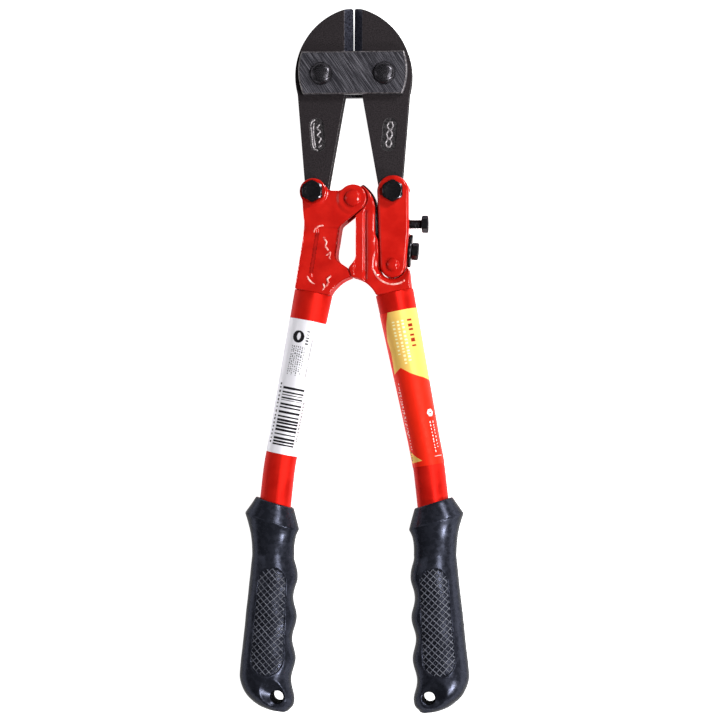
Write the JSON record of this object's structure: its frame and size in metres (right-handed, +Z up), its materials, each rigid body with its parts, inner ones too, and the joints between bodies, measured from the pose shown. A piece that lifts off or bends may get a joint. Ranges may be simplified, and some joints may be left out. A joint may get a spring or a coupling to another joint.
{
  "type": "bolt cutter",
  "caption": "Hand bolt cutter lying flat and shut: forged shear jaws between riveted straps, compound lever heads with an adjusting link, tubular handles and ribbed vinyl grips.",
  "frame": {"origin": "under the middle of the tool's box, on the surface that it lies on", "axes": "+X right across the tool, +Y along it towards the jaws, +Z up from the surface"},
  "size_m": [0.1164, 0.3554, 0.028],
  "materials": {
    "black_forging": "black oxide on a forged and ground surface",
    "ground_steel": "dark, coarse diagonal grinding marks",
    "rivet_steel": "dark, worn bright at the bevel",
    "red_forging": "gloss enamel over a rough forging",
    "red_sheet": "gloss enamel over folded sheet",
    "red_tube": "gloss enamel over drawn tube",
    "black_fastener": "black oxide, bright at the corners",
    "white_film": "printed film, satin",
    "yellow_film": "printed film, satin",
    "black_vinyl": "semi-gloss moulded vinyl"
  },
  "bodies": {
    "head": {"front_strap": "ground_steel", "back_strap": "ground_steel", "left_jaw_rivet": "rivet_steel", "right_jaw_rivet": "rivet_steel"},
    "left_blade": {"left_jaw": "black_forging"},
    "right_blade": {"right_jaw": "black_forging"},
    "link": {"adjusting_link": "red_sheet", "link_pivot_pin": "red_sheet", "right_jaw_bolt": "black_fastener", "right_jaw_nut": "black_fastener"},
    "right_handle": {"right_handle_head": "red_forging", "right_tube": "red_tube", "right_label": "yellow_film", "right_grip": "black_vinyl"},
    "left_handle": {"left_handle_head": "red_forging", "handle_pivot_rivet": "red_forging", "left_jaw_bolt": "black_fastener", "left_jaw_nut": "black_fastener", "left_tube": "red_tube", "left_label": "white_film", "left_grip": "black_vinyl"},
    "setting_screw": {"adjusting_screw": "black_fastener"},
    "lock": {"lock_bolt": "black_fastener", "lock_washer": "black_fastener"}
  },
  "joints": [
    {"name": "right_jaw_pivot", "type": "hinge", "parent": "head", "child": "right_blade", "pos_m": [0.0159, 0.1441, 0.014], "axis": [0, 0, -1], "range_deg": [0, 3.93]},
    {"name": "left_jaw_pivot", "type": "hinge", "parent": "head", "child": "left_blade", "pos_m": [-0.0159, 0.1441, 0.014], "axis": [0, 0, 1], "range_deg": [0, 3.93]},
    {"name": "right_handle_swing", "type": "hinge", "parent": "right_blade", "child": "link", "pos_m": [0.0202, 0.0847, 0.014], "axis": [0, 0, 1], "range_deg": [0, 34.3]},
    {"name": "link_adjustment", "type": "hinge", "parent": "link", "child": "right_handle", "pos_m": [0.0202, 0.0476, 0.014], "axis": [0, 0, 1], "range_deg": [-0.3, 0.3]},
    {"name": "handle_pivot", "type": "hinge", "parent": "right_handle", "child": "left_handle", "pos_m": [0, 0.0812, 0.014], "axis": [0, 0, -1], "range_deg": [0, 60.47]},
    {"name": "adjusting_screw_turn", "type": "hinge", "parent": "link", "child": "setting_screw", "pos_m": [0.0282, 0.0685, 0.014], "axis": [1, 0, 0], "range_deg": [-360, 360]},
    {"name": "lock_bolt_turn", "type": "hinge", "parent": "right_handle", "child": "lock", "pos_m": [0.02776, 0.055, 0.014], "axis": [0.9962, -0.0872, 0], "range_deg": [0, 360]}
  ],
  "couplings": [
    {"joint": "right_jaw_pivot", "follows": "right_handle_swing", "ratio": 0.114},
    {"joint": "left_jaw_pivot", "follows": "right_handle_swing", "ratio": 0.114},
    {"joint": "handle_pivot", "follows": "right_handle_swing", "ratio": 1.76}
  ]
}
